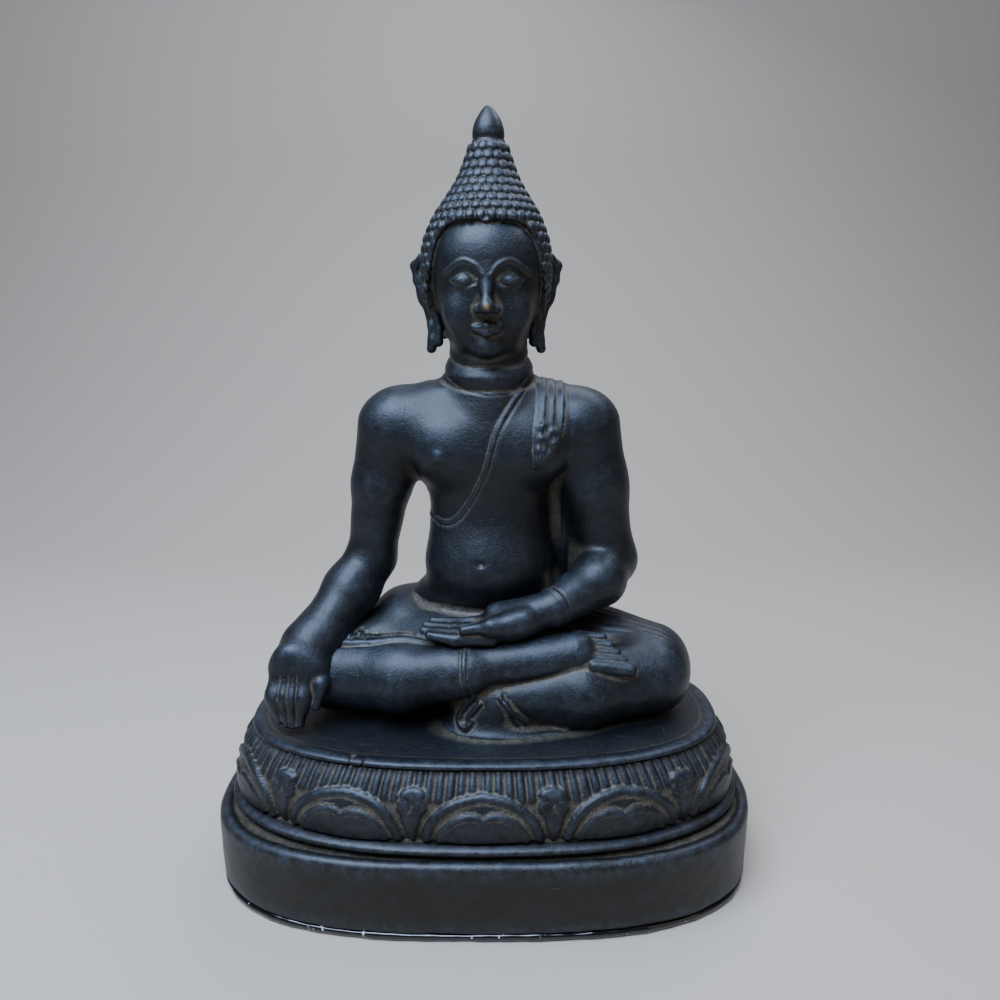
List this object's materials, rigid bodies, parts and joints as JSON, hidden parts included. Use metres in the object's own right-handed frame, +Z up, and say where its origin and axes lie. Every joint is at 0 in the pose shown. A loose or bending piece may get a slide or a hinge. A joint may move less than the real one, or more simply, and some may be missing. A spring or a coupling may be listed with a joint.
{
  "type": "buddha statue",
  "caption": "Seated buddha on an oval lotus throne and plinth, right hand reaching down to the seat, left hand in the lap; hollow cast bronze sections clamped by a tie rod.",
  "frame": {"origin": "centre of the underside of the base plate, the face that the statue rests on", "axes": "+Z up, the figure faces -Y, and its left hand is on the +X side"},
  "size_m": [0.119, 0.068, 0.1626],
  "materials": {
    "bronze": "dark blue-black patinated cast bronze, rubbed to a soft sheen, brown dust in the hollows",
    "iron": "dull brown iron plate",
    "steel": "zinc-grey turned steel",
    "clay": "burnt sandy clay casting core",
    "plaster": "chalky cast plaster",
    "lacquer": "thick black gloss lacquer, chipped to the plaster in spots",
    "brass": "plain turned brass"
  },
  "bodies": {
    "root": {"plinth_casting": "bronze", "lotus_throne_casting": "bronze", "seat_rim_patch": "bronze", "legs_casting": "bronze", "torso_casting": "bronze", "right_arm_casting": "bronze", "left_arm_casting": "bronze", "head_casting": "bronze", "finial_casting": "bronze", "base_plate": "iron", "base_seal": "lacquer", "plaster_fill": "plaster", "relic_capsule": "brass", "relic_capsule_lid": "brass", "right_shoulder_dowel": "brass", "left_shoulder_dowel": "brass", "neck_dowel": "brass", "right_hand_rivet": "brass", "left_hand_rivet": "brass", "tie_rod": "steel", "tie_rod_top_nut": "steel", "tie_rod_bottom_nut": "steel", "tie_rod_washer": "steel", "clamp_bar": "iron", "torso_core": "clay", "head_core": "clay"}
  },
  "joints": []
}
